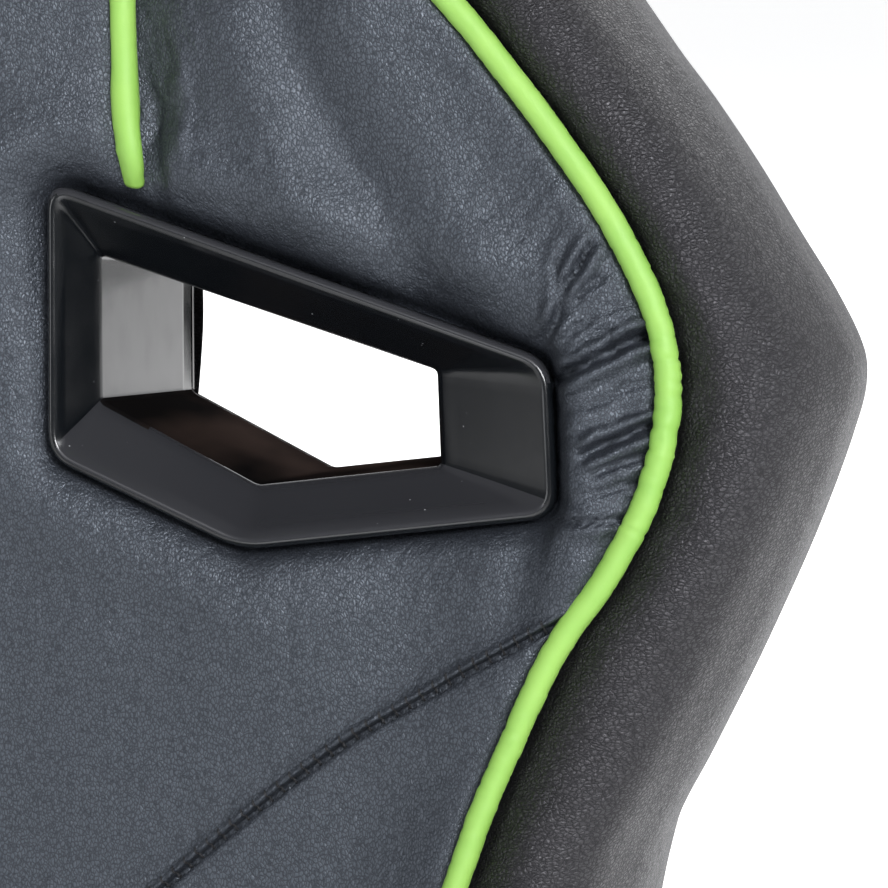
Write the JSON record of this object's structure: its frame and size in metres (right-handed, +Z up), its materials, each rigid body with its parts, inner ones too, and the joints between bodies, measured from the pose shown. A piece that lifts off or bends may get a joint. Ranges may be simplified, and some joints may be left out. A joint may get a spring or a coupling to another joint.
{
  "type": "gaming chair",
  "caption": "High-backed racing-style swivel chair with a winged, reclining back pierced by belt slots, height-adjustable armrests and a star base on casters.",
  "frame": {"origin": "on the floor, at the middle of the chair's bounding box", "axes": "+Z up, -Y the way the sitter faces, +X to the sitter's left; the caster wheels stand on Z = 0"},
  "size_m": [0.674, 0.7313, 1.2986],
  "materials": {
    "leather": "black synthetic leather over foam",
    "nylon": "glass-filled nylon, fine moulded texture",
    "gloss": "polished black plastic",
    "soft_pad": "soft polyurethane skin",
    "steel": "black powder coat",
    "chrome": "hard chrome plate",
    "tyre": "polyurethane tread",
    "webbing": "woven webbing"
  },
  "bodies": {
    "base": {"star_base": "nylon", "gas_cylinder": "steel", "lift_cover_lower": "nylon"},
    "caster_1": {"caster_1_fork": "nylon"},
    "caster_1_wheel_left": {"caster_1_wheel_left": "tyre"},
    "caster_1_wheel_right": {"caster_1_wheel_right": "tyre"},
    "caster_2": {"caster_2_fork": "nylon"},
    "caster_2_wheel_left": {"caster_2_wheel_left": "tyre"},
    "caster_2_wheel_right": {"caster_2_wheel_right": "tyre"},
    "caster_3": {"caster_3_fork": "nylon"},
    "caster_3_wheel_left": {"caster_3_wheel_left": "tyre"},
    "caster_3_wheel_right": {"caster_3_wheel_right": "tyre"},
    "caster_4": {"caster_4_fork": "nylon"},
    "caster_4_wheel_left": {"caster_4_wheel_left": "tyre"},
    "caster_4_wheel_right": {"caster_4_wheel_right": "tyre"},
    "caster_5": {"caster_5_fork": "nylon"},
    "caster_5_wheel_left": {"caster_5_wheel_left": "tyre"},
    "caster_5_wheel_right": {"caster_5_wheel_right": "tyre"},
    "lift_cover_middle": {"lift_cover_middle": "nylon"},
    "piston": {"gas_piston": "chrome"},
    "mechanism": {"mechanism_housing": "steel", "lift_cover_upper": "nylon", "tilt_pin": "chrome", "tension_spring": "chrome"},
    "height_lever": {"height_lever": "nylon"},
    "tilt_lock_lever": {"tilt_lock_lever": "nylon"},
    "seat": {"seat_plate": "steel", "seat_frame": "steel", "seat_webbing": "webbing", "seat_cushion": "leather", "tension_bolt": "chrome", "seat_bolster_left": "leather", "seat_bolster_right": "leather", "seat_hinge_bracket_left": "steel", "seat_hinge_bracket_right": "steel", "hinge_cover_left": "nylon", "hinge_cover_right": "nylon", "arm_bracket_left": "steel", "arm_bracket_right": "steel", "arm_sleeve_left": "nylon", "arm_sleeve_right": "nylon"},
    "tension_knob": {"tension_knob": "nylon"},
    "recline_lever": {"recline_lever": "nylon"},
    "back": {"back_frame": "steel", "back_cushion": "leather", "back_rear_panel": "leather", "back_hinge_bracket_left": "steel", "back_hinge_bracket_right": "steel", "bezel_front_left": "gloss", "bezel_front_right": "gloss", "bezel_rear_left": "gloss", "bezel_rear_right": "gloss"},
    "arm_left": {"arm_post_left": "steel"},
    "arm_pad_left": {"arm_pad_base_left": "nylon", "arm_pad_left": "soft_pad"},
    "arm_button_left": {"arm_button_left": "nylon"},
    "arm_right": {"arm_post_right": "steel"},
    "arm_pad_right": {"arm_pad_base_right": "nylon", "arm_pad_right": "soft_pad"},
    "arm_button_right": {"arm_button_right": "nylon"}
  },
  "joints": [
    {"name": "caster_1_swivel", "type": "hinge", "parent": "base", "child": "caster_1", "pos_m": [0, -0.3482, 0.078], "axis": [0, 0, 1], "continuous": true},
    {"name": "caster_1_roll_left", "type": "hinge", "parent": "caster_1", "child": "caster_1_wheel_left", "pos_m": [0, -0.3282, 0.03], "axis": [1, 0, 0], "continuous": true},
    {"name": "caster_1_roll_right", "type": "hinge", "parent": "caster_1", "child": "caster_1_wheel_right", "pos_m": [0, -0.3282, 0.03], "axis": [1, 0, 0], "continuous": true},
    {"name": "caster_2_swivel", "type": "hinge", "parent": "base", "child": "caster_2", "pos_m": [0.28532, -0.14091, 0.078], "axis": [0, 0, 1], "continuous": true},
    {"name": "caster_2_roll_left", "type": "hinge", "parent": "caster_2", "child": "caster_2_wheel_left", "pos_m": [0.28532, -0.12091, 0.03], "axis": [1, 0, 0], "continuous": true},
    {"name": "caster_2_roll_right", "type": "hinge", "parent": "caster_2", "child": "caster_2_wheel_right", "pos_m": [0.28532, -0.12091, 0.03], "axis": [1, 0, 0], "continuous": true},
    {"name": "caster_3_swivel", "type": "hinge", "parent": "base", "child": "caster_3", "pos_m": [0.17634, 0.19451, 0.078], "axis": [0, 0, 1], "continuous": true},
    {"name": "caster_3_roll_left", "type": "hinge", "parent": "caster_3", "child": "caster_3_wheel_left", "pos_m": [0.17634, 0.21451, 0.03], "axis": [1, 0, 0], "continuous": true},
    {"name": "caster_3_roll_right", "type": "hinge", "parent": "caster_3", "child": "caster_3_wheel_right", "pos_m": [0.17634, 0.21451, 0.03], "axis": [1, 0, 0], "continuous": true},
    {"name": "caster_4_swivel", "type": "hinge", "parent": "base", "child": "caster_4", "pos_m": [-0.17634, 0.19451, 0.078], "axis": [0, 0, 1], "continuous": true},
    {"name": "caster_4_roll_left", "type": "hinge", "parent": "caster_4", "child": "caster_4_wheel_left", "pos_m": [-0.17634, 0.21451, 0.03], "axis": [1, 0, 0], "continuous": true},
    {"name": "caster_4_roll_right", "type": "hinge", "parent": "caster_4", "child": "caster_4_wheel_right", "pos_m": [-0.17634, 0.21451, 0.03], "axis": [1, 0, 0], "continuous": true},
    {"name": "caster_5_swivel", "type": "hinge", "parent": "base", "child": "caster_5", "pos_m": [-0.28532, -0.14091, 0.078], "axis": [0, 0, 1], "continuous": true},
    {"name": "caster_5_roll_left", "type": "hinge", "parent": "caster_5", "child": "caster_5_wheel_left", "pos_m": [-0.28532, -0.12091, 0.03], "axis": [1, 0, 0], "continuous": true},
    {"name": "caster_5_roll_right", "type": "hinge", "parent": "caster_5", "child": "caster_5_wheel_right", "pos_m": [-0.28532, -0.12091, 0.03], "axis": [1, 0, 0], "continuous": true},
    {"name": "seat_height", "type": "slide", "parent": "base", "child": "piston", "axis": [0, 0, 1], "range_m": [0, 0.08]},
    {"name": "lift_cover_slide", "type": "slide", "parent": "base", "child": "lift_cover_middle", "axis": [0, 0, 1], "range_m": [0, 0.04]},
    {"name": "seat_swivel", "type": "hinge", "parent": "piston", "child": "mechanism", "pos_m": [0, -0.0482, 0.36], "axis": [0, 0, 1], "continuous": true},
    {"name": "seat_tilt", "type": "hinge", "parent": "mechanism", "child": "seat", "pos_m": [0, -0.1082, 0.374], "axis": [-1, 0, 0], "range_deg": [0, 12], "stiffness_Nm_per_rad": 90, "springref_deg": -34.38, "deforming": ["tension_spring"]},
    {"name": "height_lever_lift", "type": "hinge", "parent": "mechanism", "child": "height_lever", "pos_m": [-0.0535, -0.0682, 0.361], "axis": [0, 1, 0], "range_deg": [0, 6], "stiffness_Nm_per_rad": 2, "springref_deg": -17.19},
    {"name": "tilt_lock_lift", "type": "hinge", "parent": "mechanism", "child": "tilt_lock_lever", "pos_m": [0.0535, -0.0682, 0.361], "axis": [0, -1, 0], "range_deg": [0, 6]},
    {"name": "tension_adjust", "type": "hinge", "parent": "seat", "child": "tension_knob", "pos_m": [0, -0.1442, 0.31], "axis": [0, 0, 1], "range_deg": [-360, 360]},
    {"name": "recline", "type": "hinge", "parent": "seat", "child": "back", "pos_m": [0, 0.1668, 0.455], "axis": [-1, 0, 0], "range_deg": [-5, 50]},
    {"name": "recline_lever_lift", "type": "hinge", "parent": "seat", "child": "recline_lever", "pos_m": [-0.268, 0.1278, 0.442], "axis": [-1, 0, 0], "range_deg": [0, 25], "stiffness_Nm_per_rad": 1.5, "springref_deg": -22.92},
    {"name": "arm_height_left", "type": "slide", "parent": "seat", "child": "arm_left", "axis": [0, 0, 1], "range_m": [0, 0.075]},
    {"name": "arm_pad_swivel_left", "type": "hinge", "parent": "arm_left", "child": "arm_pad_left", "pos_m": [0.292, -0.0282, 0.66], "axis": [0, 0, 1], "range_deg": [-15, 15]},
    {"name": "arm_button_press_left", "type": "slide", "parent": "seat", "child": "arm_button_left", "axis": [-1, 0, 0], "range_m": [0, 0.003], "stiffness_N_per_m": 400, "springref_m": -0.003},
    {"name": "arm_height_right", "type": "slide", "parent": "seat", "child": "arm_right", "axis": [0, 0, 1], "range_m": [0, 0.075]},
    {"name": "arm_pad_swivel_right", "type": "hinge", "parent": "arm_right", "child": "arm_pad_right", "pos_m": [-0.292, -0.0282, 0.66], "axis": [0, 0, 1], "range_deg": [-15, 15]},
    {"name": "arm_button_press_right", "type": "slide", "parent": "seat", "child": "arm_button_right", "axis": [1, 0, 0], "range_m": [0, 0.003], "stiffness_N_per_m": 400, "springref_m": -0.003}
  ],
  "couplings": [
    {"joint": "lift_cover_slide", "follows": "seat_height", "ratio": 0.5}
  ]
}
